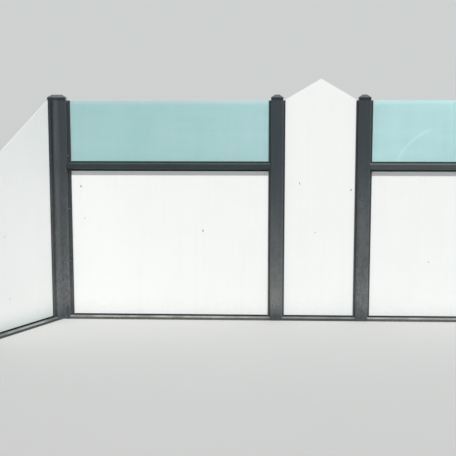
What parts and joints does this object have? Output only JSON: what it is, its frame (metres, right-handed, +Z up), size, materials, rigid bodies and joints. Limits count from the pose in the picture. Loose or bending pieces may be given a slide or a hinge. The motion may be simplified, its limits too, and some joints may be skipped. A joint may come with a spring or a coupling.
{
  "type": "glass privacy screen",
  "caption": "Row of hollow metal posts holding white boards and frosted glass panes between rails, with a pointed middle bay and wings that bend forward and slope down.",
  "frame": {"origin": "middle of the foot of the left middle post, on the ground", "axes": "+X along the row to the right as seen from the front, +Y from the front to the back, +Z up"},
  "size_m": [5.2764, 1.026, 1.9723],
  "materials": {
    "post_coating": "satin anthracite powder coat",
    "cap_coating": "satin anthracite powder coat",
    "rail_coating": "satin anthracite powder coat",
    "channel_coating": "satin anthracite powder coat",
    "white_board": "smooth white compact board",
    "frosted_glass": "satin-frosted, slightly green",
    "gasket_rubber": "black gasket",
    "foot_metal": "mill finish"
  },
  "bodies": {
    "root": {"end_post_left": "post_coating", "end_post_left_cap": "cap_coating", "end_post_left_foot": "foot_metal", "corner_post_left": "post_coating", "corner_post_left_cap": "cap_coating", "corner_post_left_foot": "foot_metal", "middle_post_left": "post_coating", "middle_post_left_cap": "cap_coating", "middle_post_left_foot": "foot_metal", "middle_post_right": "post_coating", "middle_post_right_cap": "cap_coating", "middle_post_right_foot": "foot_metal", "corner_post_right": "post_coating", "corner_post_right_cap": "cap_coating", "corner_post_right_foot": "foot_metal", "end_post_right": "post_coating", "end_post_right_cap": "cap_coating", "end_post_right_foot": "foot_metal", "wing_left_bottom_rail": "rail_coating", "wing_left_side_channels": "channel_coating", "wing_left_board": "white_board", "wing_left_gaskets": "gasket_rubber", "glass_bay_left_bottom_rail": "rail_coating", "glass_bay_left_side_channels": "channel_coating", "glass_bay_left_board": "white_board", "glass_bay_left_gaskets": "gasket_rubber", "glass_bay_left_mid_rail": "rail_coating", "glass_bay_left_glass": "frosted_glass", "gable_bay_bottom_rail": "rail_coating", "gable_bay_side_channels": "channel_coating", "gable_bay_board": "white_board", "gable_bay_gaskets": "gasket_rubber", "glass_bay_right_bottom_rail": "rail_coating", "glass_bay_right_side_channels": "channel_coating", "glass_bay_right_board": "white_board", "glass_bay_right_gaskets": "gasket_rubber", "glass_bay_right_mid_rail": "rail_coating", "glass_bay_right_glass": "frosted_glass", "wing_right_bottom_rail": "rail_coating", "wing_right_side_channels": "channel_coating", "wing_right_board": "white_board", "wing_right_gaskets": "gasket_rubber"}
  },
  "joints": []
}
